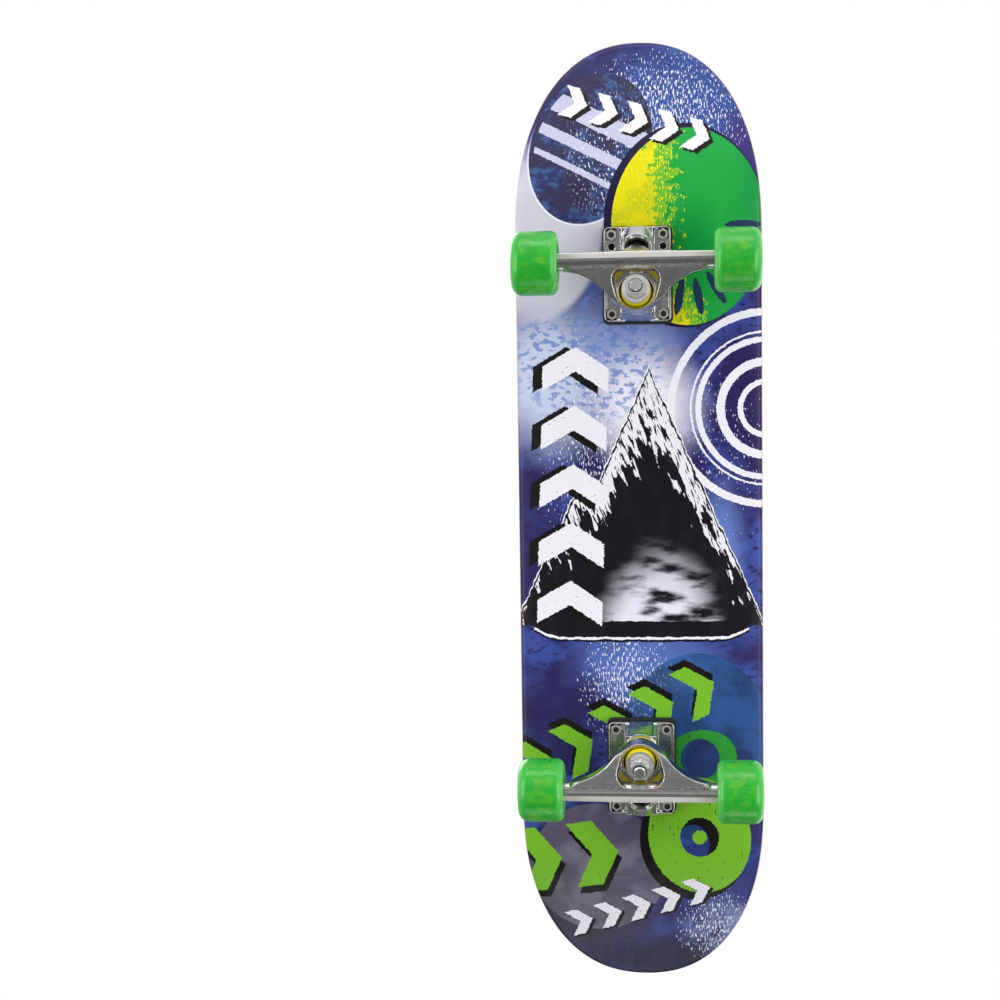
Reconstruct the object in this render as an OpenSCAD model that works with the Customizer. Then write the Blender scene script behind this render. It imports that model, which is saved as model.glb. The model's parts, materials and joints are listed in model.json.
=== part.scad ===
// Skateboard: maple deck with grip tape, two sprung trucks, four urethane
// wheels on sealed ball bearings. The board stands on its wheels.
// +X points to the nose, +Y to the rider's left, +Z up. The origin is on the
// ground, under the middle of the deck.

/* [Deck] */
// Length of the deck from nose tip to tail tip
deck_len = 790; // [740:1:830]
// Width of the deck between the trucks
deck_w = 200; // [190:1:210]
// Thickness of the glued maple plies
deck_t = 11; // [9:0.5:12]
// Length of the rounded part of the outline at each end
end_len = 165; // [150:1:175]
// Height that the edges stand above the flat middle
concave = 7; // [3:0.5:9]
// Slope of the nose and the tail, in degrees
kick_angle = 21; // [16:0.5:23]
// Radius of the bend where a kick begins
kick_radius = 150; // [120:5:180]
// Thickness of the grip tape
grip_t = 0.8; // [0.6:0.1:1.2]

/* [Trucks] */
// Distance between the middles of the two base plates
truck_spacing = 402; // [390:1:415]
// Length and width of the pattern of mounting holes
hole_length = 63.5; // [63.5]
hole_width = 41.3; // [41.3]
// Distance of the spare holes from the pivot-side holes
spare_hole_step = 9.5; // [9:0.5:10]
// Length and width of the base plate
plate_l = 75.6; // [75.4:0.2:77]
plate_w = 53.4; // [53.2:0.2:55]
// Thickness of the riser pad under the base plate
riser_t = 5; // [4:0.5:6]
// Height of the base plate's rim and of its recessed floor
rim_h = 7; // [6.5:0.5:7.5]
floor_h = 3.5; // [3:0.5:4]
// Drop of the axle below the deck
axle_drop = 59.4; // [59:0.1:60]
// Offset of the axle from the middle of the plate, towards the board's end
axle_out = 7.3; // [7:0.1:8]
// Lean of the kingpin, its nut towards the axle, in degrees
kingpin_lean = 12; // [12]
// Slope of the pivot cup's bore from the board, in degrees
pivot_slope = 50; // [50]

/* [Wheels] */
// Diameter of a wheel
wheel_d = 50; // [49:0.5:51]
// Width of a wheel
wheel_w = 36; // [36]
// Distance of a wheel's middle from the board's centre line
wheel_y = 78.5; // [77:0.5:80]
// Number of balls in one bearing
ball_count = 7; // [7]

/* [Hidden] */
$fn = 64;

// Heights above the ground
axle_z = wheel_d / 2;
under_z = axle_z + axle_drop;
top_z = under_z + deck_t;
grip_z = top_z + grip_t;

// Outline of the deck: the ends follow a superellipse
half_len = deck_len / 2;
half_w = deck_w / 2;
end_power = 2.45;
side_power = 2.2;
// A kick begins past the outer mounting holes
kick_start = truck_spacing / 2 + hole_length / 2 + 12;
kick_run = kick_radius * sin(kick_angle);
kick_lift = kick_radius * (1 - cos(kick_angle));
// The middle of the deck is flat under the trucks, then curves up
flat_half_w = 30;
tip_gap = 0.2;
deck_steps = 26;
deck_columns = 14;

// Mounting hardware, number 10 screws
screw_r = 2.4;
screw_hole_r = 2.6;
screw_head_r = 5;
screw_head_h = 3;
screw_len = 24;
screw_nut_flats = 8;
screw_nut_h = 4;

// Kingpin and bushings, measured along the kingpin from the ring's centre.
// The ring is the eye of the hanger between the two bushings.
ring_u = -17;
ring_drop = 50;
ring_half = 3;
ring_hole_r = 6.5;
kingpin_r = 4.75;
kingpin_bore_r = 4.8;
kingpin_head_r = 8;
kingpin_head_at = 39;
kingpin_head_h = 4.5;
kingpin_tip_at = 28;
bushing_r = 12.5;
bushing_bore_r = 4.9;
board_bushing_h = 12.5;
road_bushing_h = 11;
washer_t = 2;
nut_flats = 14.3;
nut_h = 7.5;
nut_collar_h = 2;
seat_at = ring_half + board_bushing_h + washer_t;

// Pivot: a ball-ended stem on the hanger sits in a cup in the base plate.
// The steering axis runs from the ring's centre to the middle of the ball.
pivot_u = 26.4;
pivot_drop = 16;
ball_end_r = 5.5;
stem_r = 4.9;
stem_root_r = 7.2;
stem_root_at = 14;
cup_r = 9;
cup_gap = 0.06;
cup_mouth = 9;
cup_floor = 6.4;
housing_r = 12.8;

// Wheel, bearing and axle
axle_r = 4;
bearing_r = 11;
bearing_w = 7;
bearing_at = 7;
ball_pitch_r = 7.5;
ball_r = 1.98;
groove_r = 2.03;
inner_race_r = 6;
outer_race_r = 9;
bearing_face = bearing_at + bearing_w / 2;
speed_washer_t = 0.8;
hanger_half = wheel_y - bearing_face - speed_washer_t;
beam_r = 7;
axle_half = wheel_y + wheel_w / 2;
touch = 0.02;

// ---- Deck surface ----

// Height of the kick above the flat, at a distance past its start
function kick_rise(run) =
    run <= 0 ? 0
    : run < kick_run ? kick_radius - sqrt(kick_radius * kick_radius - run * run)
    : kick_lift + (run - kick_run) * tan(kick_angle);

// Half the deck's width at a place along its length
function half_width(x) =
    let (into = max(0, (abs(x) - (half_len - end_len)) / end_len))
    half_w * pow(1 - pow(into, end_power), 1 / side_power);

// Rise of the concave across the deck
function edge_rise(y) =
    let (out = max(0, (abs(y) - flat_half_w) / (half_w - flat_half_w)))
    concave * out * out;

function surface_z(x, y) = kick_rise(abs(x) - kick_start) + edge_rise(y);

function station_x(i) = (half_len - tip_gap) * sin(90 * i / deck_steps);

// One layer of grid points, station by station
function layer(z0) = [
    for (i = [-deck_steps:deck_steps])
    for (j = [0:deck_columns])
    let (x = station_x(i))
    let (y = half_width(x) * (2 * j / deck_columns - 1))
    [x, y, z0 + surface_z(x, y)]
];

row = deck_columns + 1;
row_count = 2 * deck_steps + 1;
layer_size = row * row_count;

// Two triangles for each square of the grid, split the same way on both faces
function top_face(a, b, c, d) = [[a, b, d], [b, c, d]];
function bottom_face(a, b, c, d) = [[a, d, b], [b, d, c]];

// A sheet that follows the deck's surface between two heights
module deck_sheet(low, high) {
    points = concat(layer(low), layer(high));
    up = layer_size;
    faces = [
        for (i = [0:row_count - 2])
        for (j = [0:deck_columns - 1])
        let (a = i * row + j)
        each concat(
            bottom_face(a, a + 1, a + 1 + row, a + row),
            top_face(a + up, a + up + 1, a + up + 1 + row, a + up + row)
        )
    ];
    sides = [
        for (i = [0:row_count - 2])
        each concat(
            wall(i * row, (i + 1) * row),
            wall((i + 2) * row - 1, (i + 1) * row - 1)
        )
    ];
    last = layer_size - row;
    ends = [
        for (j = [0:deck_columns - 1])
        each concat(wall(j + 1, j), wall(last + j, last + j + 1))
    ];
    polyhedron(points, concat(faces, sides, ends));
}

function wall(a, b) = [
    [a, b, b + layer_size],
    [a, b + layer_size, a + layer_size]
];

// ---- Places ----

// A truck's own frame: +X towards the end of the board, height as the board
module at_truck(end) {
    rotate([0, 0, end == "front" ? 0 : 180])
    translate([truck_spacing / 2, 0, 0]) children();
}

module at_screws(end) {
    at_truck(end)
    for (x = [-1, 1])
    for (y = [-1, 1])
    translate([x * hole_length / 2, y * hole_width / 2, 0]) children();
}

// Frame of the kingpin: origin at the ring's centre, +Z towards the nut
module on_kingpin() {
    translate([ring_u, 0, under_z - ring_drop])
    rotate([0, 180 - kingpin_lean, 0]) children();
}

// Frame of the pivot: origin at the middle of its ball, +Z out of the cup
module on_pivot() {
    translate([pivot_u, 0, under_z - pivot_drop])
    rotate([0, -90 - pivot_slope, 0]) children();
}

// Frame of the axle: +Z along the axle
module on_axle() {
    translate([axle_out, 0, axle_z]) rotate([-90, 0, 0]) children();
}

// Frame of one wheel: origin at its middle, +Z along the axle and outwards
module at_wheel(end, side) {
    outward = (side == "left") == (end == "front") ? 1 : -1;
    at_truck(end)
    translate([axle_out, outward * wheel_y, axle_z])
    rotate([-90 * outward, 0, 0]) children();
}

module both_bearings() {
    for (side = [-1, 1]) translate([0, 0, side * bearing_at]) children();
}

// ---- Deck ----

module screw_holes() {
    for (end = ["front", "rear"])
    at_screws(end)
    translate([0, 0, under_z - 1]) cylinder(h = deck_t + 4, r = screw_hole_r);
}

module head_recesses() {
    for (end = ["front", "rear"])
    at_screws(end)
    translate([0, 0, grip_z - screw_head_h - touch])
    cylinder(h = screw_head_h + touch, r1 = screw_r, r2 = screw_head_r + touch);
}

module deck() {
    color("#c9a26a")
    difference() {
        deck_sheet(under_z, top_z);
        screw_holes();
        head_recesses();
    }
}

module grip_tape() {
    color("#3b3d40")
    difference() {
        deck_sheet(top_z, grip_z);
        screw_holes();
        head_recesses();
    }
}

// ---- Parts of a truck that stay with the deck ----

module rounded_plate(l, w, h, r) {
    linear_extrude(h)
    union() {
        square([l - 2 * r, w], center = true);
        square([l, w - 2 * r], center = true);
        for (x = [-1, 1])
        for (y = [-1, 1])
        translate([x * (l / 2 - r), y * (w / 2 - r)]) circle(r = r);
    }
}

module riser_pad(end) {
    color("#161616")
    difference() {
        at_truck(end)
        translate([-0.5, 0, under_z - riser_t])
        rounded_plate(plate_l + 3, plate_w + 3, riser_t, 5);
        at_screws(end)
        translate([0, 0, under_z - riser_t - 1])
        cylinder(h = riser_t + 2, r = screw_hole_r);
    }
}

// Side view of the ridge that carries the kingpin and the pivot, as
// distances from the plate's middle and below the deck
ridge_outline = [
    [-37, riser_t + 1], [-37, riser_t + rim_h - 2], [-31.6, 30.6],
    [-31.3, 34.6], [-9.8, 30.0], [-7, 16], [10, 16], [14, 20],
    [37, 20], [37, riser_t + 1]
];
ridge_w = 25.5;
rim_w = 1.3;
pocket_w = (plate_w - ridge_w) / 2 - rim_w;

module side_profile(outline, w) {
    translate([0, w / 2, under_z])
    rotate([90, 0, 0])
    linear_extrude(w) polygon([for (p = outline) [p[0], -p[1]]]);
}

module plate_body() {
    plate_low = under_z - riser_t - rim_h;
    difference() {
        translate([0, 0, plate_low]) rounded_plate(plate_l, plate_w, rim_h, 4);
        for (side = [-1, 1])
        translate([0, side * (ridge_w + pocket_w) / 2, plate_low - 1])
        rounded_plate(plate_l - 2 * rim_w, pocket_w, rim_h - floor_h + 1, 2);
    }
}

// Keeps what lies under the riser pad and within the plate's length
module within_plate() {
    intersection() {
        children();
        translate([-plate_l / 2, -plate_w, 0])
        cube([plate_l - 0.2, 2 * plate_w, under_z - riser_t]);
    }
}

module baseplate(end) {
    color("#a9abad")
    difference() {
        at_truck(end)
        difference() {
            union() {
                plate_body();
                side_profile(ridge_outline, ridge_w);
                within_plate()
                on_pivot()
                translate([0, 0, cup_mouth - 30]) cylinder(h = 30, r = housing_r);
                on_kingpin()
                translate([0, 0, -seat_at - 8]) cylinder(h = 8, r = 12.7);
            }
            // The sloping face between the two cheeks of the ridge
            side_profile([[-40, 6], [-38, 6], [-30.3, 29.5], [-40, 40]], 19);
            // Bore and head pocket of the kingpin
            on_kingpin()
            translate([0, 0, -70]) cylinder(h = 80, r = kingpin_bore_r);
            on_kingpin()
            translate([0, 0, -70])
            cylinder(h = 70 - kingpin_head_at, r = kingpin_head_r + touch);
            // Bore of the pivot cup
            on_pivot()
            translate([0, 0, -cup_floor - touch]) cylinder(h = 40, r = cup_r + touch);
            // Space swept by the hanger's ring and bushing
            on_kingpin()
            translate([0, 0, -seat_at]) cylinder(h = 40, r = 17);
            // Spare pair of holes
            for (y = [-1, 1])
            translate([
                hole_length / 2 - spare_hole_step,
                y * hole_width / 2,
                under_z - riser_t - rim_h - 1
            ])
            cylinder(h = rim_h + 2, r = screw_hole_r);
        }
        at_screws(end)
        translate([0, 0, under_z - 20]) cylinder(h = 20, r = screw_hole_r);
    }
}

module pivot_cup(end) {
    seat_r = ball_end_r + cup_gap;
    color("#121212")
    at_truck(end)
    on_pivot()
    difference() {
        translate([0, 0, -cup_floor]) cylinder(h = cup_floor + cup_mouth, r = cup_r);
        sphere(r = seat_r);
        cylinder(h = cup_mouth + 1, r1 = seat_r, r2 = stem_root_r + 0.5);
    }
}

module kingpin(end) {
    color("#b9bbbd")
    at_truck(end)
    on_kingpin()
    union() {
        translate([0, 0, -kingpin_head_at - kingpin_head_h])
        cylinder(h = kingpin_head_h, r = kingpin_head_r, $fn = 6);
        translate([0, 0, -kingpin_head_at - 1])
        cylinder(h = kingpin_head_at + kingpin_tip_at, r = kingpin_r);
        translate([0, 0, kingpin_tip_at - 1])
        cylinder(h = 1, r1 = kingpin_r, r2 = kingpin_r - 0.9);
    }
}

// Where the road-side stack of bushing, washer and nut begins
top_washer_at = ring_half + road_bushing_h;
nut_at = top_washer_at + washer_t;

module kingpin_nut(end) {
    color("#c9cbcd")
    at_truck(end)
    on_kingpin()
    translate([0, 0, nut_at])
    difference() {
        union() {
            intersection() {
                cylinder(h = nut_h, d = nut_flats / cos(30), $fn = 6);
                cylinder(h = nut_h, r1 = 11, r2 = 7.4);
            }
            cylinder(h = nut_h + nut_collar_h, r = 6.6);
        }
        translate([0, 0, -1])
        cylinder(h = nut_h + nut_collar_h + 2, r = kingpin_r + touch);
        translate([0, 0, nut_h + nut_collar_h - 1.2]) cylinder(h = 2, r = 5.7);
    }
}

// Cupped washer: a disc with a rim that holds the bushing
module cup_washer(r, rim) {
    difference() {
        translate([0, 0, -rim]) cylinder(h = washer_t + rim, r = r);
        translate([0, 0, -rim - 1]) cylinder(h = rim + 1, r = r - 0.8);
        translate([0, 0, -1]) cylinder(h = washer_t + 2, r = kingpin_r + 0.2);
    }
}

module top_washer(end) {
    color("#d2d3d5")
    at_truck(end)
    on_kingpin()
    translate([0, 0, top_washer_at]) cup_washer(11.1, 1.5);
}

module bottom_washer(end) {
    color("#c2c3c5")
    at_truck(end)
    on_kingpin()
    translate([0, 0, -ring_half - board_bushing_h - washer_t])
    difference() {
        cylinder(h = washer_t, r = 12.6);
        translate([0, 0, -1]) cylinder(h = washer_t + 2, r = kingpin_r + 0.2);
    }
}

// Barrel bushing between the base plate and the ring
module board_bushing(end) {
    color("#f2d21b")
    at_truck(end)
    on_kingpin()
    translate([0, 0, -ring_half - board_bushing_h])
    rotate_extrude()
    difference() {
        union() {
            translate([0, 0]) square([bushing_r - 0.8, board_bushing_h]);
            translate([0, 1.2]) square([bushing_r, board_bushing_h - 2.4]);
        }
        translate([0, -1]) square([bushing_bore_r, board_bushing_h + 2]);
    }
}

// Cone bushing between the ring and the nut's washer
module road_bushing(end) {
    tip_r = 9.9;
    color("#f2d21b")
    at_truck(end)
    on_kingpin()
    translate([0, 0, ring_half])
    rotate_extrude()
    polygon([
        [bushing_bore_r, 0], [bushing_r - 0.5, 0], [bushing_r, 0.8],
        [bushing_r, 2.5], [tip_r, road_bushing_h - 0.5],
        [tip_r - 0.5, road_bushing_h], [bushing_bore_r, road_bushing_h]
    ]);
}

module mounting_screws(end) {
    color("#4a4a40")
    at_screws(end)
    translate([0, 0, grip_z])
    difference() {
        union() {
            translate([0, 0, -screw_head_h])
            cylinder(h = screw_head_h, r1 = screw_r, r2 = screw_head_r);
            translate([0, 0, -screw_len]) cylinder(h = screw_len, r = screw_r);
        }
        // Cross recess
        for (turn = [0, 90])
        rotate([0, 0, turn])
        translate([-2.6, -0.55, -1.6]) cube([5.2, 1.1, 2]);
        translate([0, 0, -2.4]) cylinder(h = 2.5, r1 = 0.6, r2 = 1.5);
    }
}

module mounting_nuts(end) {
    color("#c4c6c8")
    at_screws(end)
    translate([0, 0, under_z - riser_t - floor_h - screw_nut_h])
    difference() {
        union() {
            translate([0, 0, 1.2])
            cylinder(h = screw_nut_h - 1.2, d = screw_nut_flats / cos(30), $fn = 6);
            cylinder(h = screw_nut_h, r = screw_nut_flats / 2 - 0.2);
        }
        translate([0, 0, -1]) cylinder(h = screw_nut_h + 2, r = screw_r + touch);
    }
}

// ---- Hanger and what it carries ----

// The hanger's road-side face runs straight from the eye to the beam
eye_r = 15.6;
eye_low = 5;
eye_high = 8;
lip_r = 14.8;
eye_seat_r = 13.1;
// Plan of the swept sides: two large arcs
sweep_r = 46;
sweep_u = -45.8;
sweep_y = 59;
// Flat strip along the outer side of the beam
strip_half = 62.5;
strip_low = beam_r + 0.5;
strip_crown = 0.9;

module yoke() {
    difference() {
        hull() {
            on_kingpin()
            translate([0, 0, -eye_low])
            cylinder(h = eye_low + eye_high, r = eye_r, $fn = 48);
            on_axle() cylinder(h = 112, r = beam_r, center = true, $fn = 32);
        }
        swept_sides(0);
        // Space for the bushing on the board's side of the eye
        on_kingpin() translate([0, 0, -40]) cylinder(h = 40 - ring_half, r = eye_seat_r);
    }
}

module swept_sides(margin) {
    for (y = [-1, 1])
    translate([sweep_u, y * sweep_y, 0]) cylinder(h = under_z, r = sweep_r + margin);
}

// Beam along the axle: round, with one square corner that is the flat strip
module hanger_beam() {
    on_axle() cylinder(h = 2 * hanger_half, r = beam_r, center = true);
    translate([axle_out, 0, axle_z - strip_low])
    linear_extrude(strip_low)
    polygon([
        [0, -strip_half], [beam_r, -strip_half], [beam_r + strip_crown, 0],
        [beam_r, strip_half], [0, strip_half]
    ]);
}

// Nose from the beam to the pivot
module pivot_nose() {
    hull() {
        translate([axle_out + 0.5, 0, axle_z + 3])
        rotate([90, 0, 0]) cylinder(h = 26, r = 7, center = true, $fn = 32);
        on_pivot()
        translate([0, 0, stem_root_at - 1]) cylinder(h = 5, r = stem_root_r, $fn = 32);
    }
    on_pivot() cylinder(h = stem_root_at, r1 = stem_r, r2 = stem_root_r);
    on_pivot() sphere(r = ball_end_r);
}

// Bowl around the nut: round at the eye, wide and arched towards the axle
module hanger_bowl(margin) {
    hull() {
        on_kingpin()
        translate([0, 0, 4.5]) cylinder(h = 40, r = lip_r - 0.3 + margin, $fn = 48);
        for (p = [[-6.9, -8.5, 9], [-9.6, 0, 11.8], [-6.9, 8.5, 9]])
        translate([p[0], p[1], under_z - 59])
        rotate([0, 180, 0])
        cylinder(h = 30, r1 = p[2] + margin, r2 = p[2] + 6.5 + margin, $fn = 48);
    }
}

// As-cast floor between the ground rims: a shallow recess in the face
module web_recess() {
    depth = 1;
    edge = 1.6;
    face_slope = 8.3;
    difference() {
        translate([axle_out, 0, axle_z - beam_r + depth])
        rotate([0, -face_slope, 0])
        translate([-60, -54, -20]) cube([60, 108, 20]);
        swept_sides(edge);
        hanger_bowl(edge);
        on_kingpin() cylinder(h = 60, r = eye_r + 2, center = true);
    }
}

module eye_lip() {
    on_kingpin() cylinder(h = eye_high, r = lip_r);
}

module hanger(end) {
    color("#8d8f93")
    at_truck(end)
    difference() {
        union() {
            difference() {
                yoke();
                hanger_bowl(0);
                web_recess();
            }
            hanger_beam();
            pivot_nose();
            eye_lip();
        }
        on_kingpin() cylinder(h = 40, r = ring_hole_r, center = true);
        on_kingpin() translate([0, 0, ring_half]) cylinder(h = 30, r = eye_seat_r);
        on_kingpin() translate([0, 0, -40]) cylinder(h = 40 - ring_half, r = eye_seat_r);
        on_axle() cylinder(h = 200, r = axle_r + touch, center = true);
    }
}

module axle(end) {
    color("#b4b6b8")
    at_truck(end)
    on_axle()
    union() {
        cylinder(h = 2 * axle_half - 1.2, r = axle_r, center = true);
        cylinder(h = 2 * axle_half, r = axle_r - 0.6, center = true);
    }
}

// Mirrored pair on the two ends of an axle, +Z outwards from the wheel
module at_axle_ends(end) {
    for (side = ["left", "right"]) at_wheel(end, side) children();
}

module axle_nuts(end) {
    color("#c4c6c8")
    at_axle_ends(end)
    translate([0, 0, bearing_face + speed_washer_t])
    difference() {
        union() {
            cylinder(h = 4.4, d = 12.7 / cos(30), $fn = 6);
            cylinder(h = 6, r = 5.8);
        }
        translate([0, 0, -1]) cylinder(h = 8, r = axle_r + touch);
    }
}

module speed_washers(end) {
    color("#b0b2b4")
    at_axle_ends(end)
    for (z = [-bearing_face - speed_washer_t, bearing_face])
    translate([0, 0, z])
    difference() {
        cylinder(h = speed_washer_t, r = 6.2);
        translate([0, 0, -1]) cylinder(h = 3, r = axle_r + 0.1);
    }
}

// ---- Bearings ----

module ball_groove() {
    rotate_extrude() translate([ball_pitch_r, 0]) circle(r = groove_r);
}

module bearing_inner_races(end) {
    color("#c8cacc")
    at_axle_ends(end)
    both_bearings()
    difference() {
        cylinder(h = bearing_w, r = inner_race_r, center = true);
        cylinder(h = bearing_w + 2, r = axle_r + touch, center = true);
        ball_groove();
    }
}

module bearing_spacers(end) {
    color("#9a9c9e")
    at_axle_ends(end)
    difference() {
        cylinder(h = 2 * bearing_at - bearing_w, r = 5.4, center = true);
        cylinder(h = bearing_w + 2, r = axle_r + 0.1, center = true);
    }
}

module bearing_outer_races(end, side) {
    color("#c8cacc")
    at_wheel(end, side)
    both_bearings()
    difference() {
        cylinder(h = bearing_w, r = bearing_r, center = true);
        cylinder(h = bearing_w + 2, r = outer_race_r, center = true);
        ball_groove();
    }
}

// Thin discs that close both faces of each bearing
module bearing_shields(end, side) {
    shield_t = 0.3;
    color("#2b2d30")
    at_wheel(end, side)
    both_bearings()
    for (face = [-1, 1])
    translate([0, 0, face * (bearing_w / 2 - 0.4)])
    difference() {
        cylinder(h = shield_t, r = outer_race_r, center = true);
        cylinder(h = 1, r = inner_race_r + 0.3, center = true);
    }
}

module ball_places() {
    for (k = [0:ball_count - 1])
    rotate([0, 0, k * 360 / ball_count])
    translate([ball_pitch_r, 0, 0]) children();
}

module bearing_balls(end, side) {
    color("#d8dadc")
    at_wheel(end, side)
    both_bearings()
    ball_places() sphere(r = ball_r);
}

module bearing_cages(end, side) {
    cage_half = 2.6;
    color("#caa64a")
    at_wheel(end, side)
    both_bearings()
    difference() {
        cylinder(h = 2 * cage_half, r = 8.3, center = true);
        cylinder(h = 2 * cage_half + 1, r = 6.7, center = true);
        ball_places() rotate([0, 90, 0]) cylinder(h = 4, r = ball_r + 0.08, center = true);
    }
}

// ---- Wheels ----

// Half section of a wheel: radius outwards, +Y towards the outer face.
// Both lips are round, the outer one more so.
wheel_bore_r = 8;
outer_lip = 8.5;
inner_lip = 6;

module wheel_outline() {
    half = wheel_w / 2;
    rim_r = wheel_d / 2;
    translate([wheel_bore_r, -half + inner_lip])
    square([rim_r - wheel_bore_r, wheel_w - inner_lip - outer_lip]);
    translate([wheel_bore_r, -half])
    square([rim_r - inner_lip - wheel_bore_r, wheel_w / 2]);
    translate([wheel_bore_r, 0])
    square([rim_r - outer_lip - wheel_bore_r, wheel_w / 2]);
    translate([rim_r - outer_lip, half - outer_lip]) circle(r = outer_lip);
    translate([rim_r - inner_lip, -half + inner_lip]) circle(r = inner_lip);
}

// What is cut from the half section: the bearing seat and the cone outside it
module wheel_seat(mouth_r) {
    inside = bearing_w / 2;
    past = wheel_w / 2 + 0.1;
    polygon([
        [0, inside], [bearing_r, inside], [bearing_r, bearing_face],
        [bearing_r + 1.4, bearing_face], [mouth_r, past], [0, past]
    ]);
}

module wheel_section() {
    difference() {
        wheel_outline();
        square([2 * wheel_bore_r, 2 * wheel_w], center = true);
        wheel_seat(15.4);
        mirror([0, 1]) wheel_seat(16.4);
    }
}

module wheel(end, side) {
    color("#4cc63c")
    at_wheel(end, side)
    rotate_extrude($fn = 96) wheel_section();
}

deck();
grip_tape();
riser_pad("front");  // riser_pad_front
baseplate("front");  // baseplate_front
pivot_cup("front");  // pivot_cup_front
kingpin("front");  // kingpin_front
kingpin_nut("front");  // kingpin_nut_front
top_washer("front");  // top_washer_front
bottom_washer("front");  // bottom_washer_front
board_bushing("front");  // board_bushing_front
road_bushing("front");  // road_bushing_front
mounting_screws("front");  // mounting_screws_front
mounting_nuts("front");  // mounting_nuts_front
hanger("front");  // hanger_front
axle("front");  // axle_front
axle_nuts("front");  // axle_nuts_front
speed_washers("front");  // speed_washers_front
bearing_inner_races("front");  // bearing_inner_races_front
bearing_spacers("front");  // bearing_spacers_front
riser_pad("rear");  // riser_pad_rear
baseplate("rear");  // baseplate_rear
pivot_cup("rear");  // pivot_cup_rear
kingpin("rear");  // kingpin_rear
kingpin_nut("rear");  // kingpin_nut_rear
top_washer("rear");  // top_washer_rear
bottom_washer("rear");  // bottom_washer_rear
board_bushing("rear");  // board_bushing_rear
road_bushing("rear");  // road_bushing_rear
mounting_screws("rear");  // mounting_screws_rear
mounting_nuts("rear");  // mounting_nuts_rear
hanger("rear");  // hanger_rear
axle("rear");  // axle_rear
axle_nuts("rear");  // axle_nuts_rear
speed_washers("rear");  // speed_washers_rear
bearing_inner_races("rear");  // bearing_inner_races_rear
bearing_spacers("rear");  // bearing_spacers_rear
wheel("front", "left");  // wheel_front_left
bearing_outer_races("front", "left");  // bearing_outer_races_front_left
bearing_shields("front", "left");  // bearing_shields_front_left
bearing_balls("front", "left");  // bearing_balls_front_left
bearing_cages("front", "left");  // bearing_cages_front_left
wheel("front", "right");  // wheel_front_right
bearing_outer_races("front", "right");  // bearing_outer_races_front_right
bearing_shields("front", "right");  // bearing_shields_front_right
bearing_balls("front", "right");  // bearing_balls_front_right
bearing_cages("front", "right");  // bearing_cages_front_right
wheel("rear", "left");  // wheel_rear_left
bearing_outer_races("rear", "left");  // bearing_outer_races_rear_left
bearing_shields("rear", "left");  // bearing_shields_rear_left
bearing_balls("rear", "left");  // bearing_balls_rear_left
bearing_cages("rear", "left");  // bearing_cages_rear_left
wheel("rear", "right");  // wheel_rear_right
bearing_outer_races("rear", "right");  // bearing_outer_races_rear_right
bearing_shields("rear", "right");  // bearing_shields_rear_right
bearing_balls("rear", "right");  // bearing_balls_rear_right
bearing_cages("rear", "right");  // bearing_cages_rear_right
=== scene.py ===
# %% [markdown]
# # A skateboard, finished in cells
# The frame comes first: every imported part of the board, in metres, with +X to
# the nose, +Z up and the wheels on the ground. Nothing in it is moved. Each
# cell after this one gives a part the surface it has on the real board, or
# replaces a plain part with a finer mesh that sits in the same place.

# %% Load the frame
import json
import math

import bmesh
import bpy
from mathutils import Matrix, Vector


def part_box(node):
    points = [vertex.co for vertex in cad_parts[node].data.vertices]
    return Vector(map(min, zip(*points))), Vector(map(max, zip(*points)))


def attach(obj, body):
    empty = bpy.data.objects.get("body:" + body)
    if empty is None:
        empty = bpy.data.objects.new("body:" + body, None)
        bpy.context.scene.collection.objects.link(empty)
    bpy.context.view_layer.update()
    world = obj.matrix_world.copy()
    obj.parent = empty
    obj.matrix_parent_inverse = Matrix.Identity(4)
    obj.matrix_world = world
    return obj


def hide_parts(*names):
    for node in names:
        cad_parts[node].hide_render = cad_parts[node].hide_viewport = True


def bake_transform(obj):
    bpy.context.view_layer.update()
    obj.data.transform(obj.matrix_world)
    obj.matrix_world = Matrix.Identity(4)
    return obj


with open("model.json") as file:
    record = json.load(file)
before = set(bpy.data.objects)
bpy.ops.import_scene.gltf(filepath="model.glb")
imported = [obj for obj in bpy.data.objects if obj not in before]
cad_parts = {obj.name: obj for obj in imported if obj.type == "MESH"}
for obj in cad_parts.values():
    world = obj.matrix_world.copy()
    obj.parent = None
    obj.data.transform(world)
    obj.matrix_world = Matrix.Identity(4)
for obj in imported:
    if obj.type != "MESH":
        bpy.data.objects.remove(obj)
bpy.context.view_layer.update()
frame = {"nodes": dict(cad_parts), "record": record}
MM = 0.001
ENDS = ("front", "rear")
SIDES = ("left", "right")
WHEELS = [f"{end}_{side}" for end in ENDS for side in SIDES]

# %% [markdown]
# ## Camera
# The board is seen from below, nose up, by a camera on a long lens about
# 1.4 m away. The camera's place is stated from the middle of the deck's
# underside, and its turn as three small angles.

# %% Camera
under_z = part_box("deck")[0].z
eye = Vector((128, 33, -1420)) * MM
tilts = [math.radians(a) for a in (4.38, -5.92, 0.40)]
board_to_view = Matrix(((0, 1, 0), (1, 0, 0), (0, 0, -1)))
turn = Matrix.Rotation(tilts[2], 3, "Z") @ Matrix.Rotation(tilts[1], 3, "Y")
turn = turn @ Matrix.Rotation(tilts[0], 3, "X")

lens = bpy.data.cameras.new("camera")
lens.lens = 62.6
lens.sensor_width = 36
camera = bpy.data.objects.new("camera", lens)
bpy.context.scene.collection.objects.link(camera)
camera.matrix_world = (turn @ board_to_view).transposed().to_4x4()
camera.location = eye + Vector((0, 0, under_z))
bpy.context.scene.camera = camera
print("camera at", tuple(round(v, 3) for v in camera.location))

# %% [markdown]
# ## Two small tools for surfaces
# Colours are written as sRGB hex, the way a paint chart gives them, and one
# function turns them into the linear numbers that a shader wants. Another adds
# one shader node with its settings and its links, so that a material reads as
# a short list of nodes. It returns the socket that the next node needs.

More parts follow.
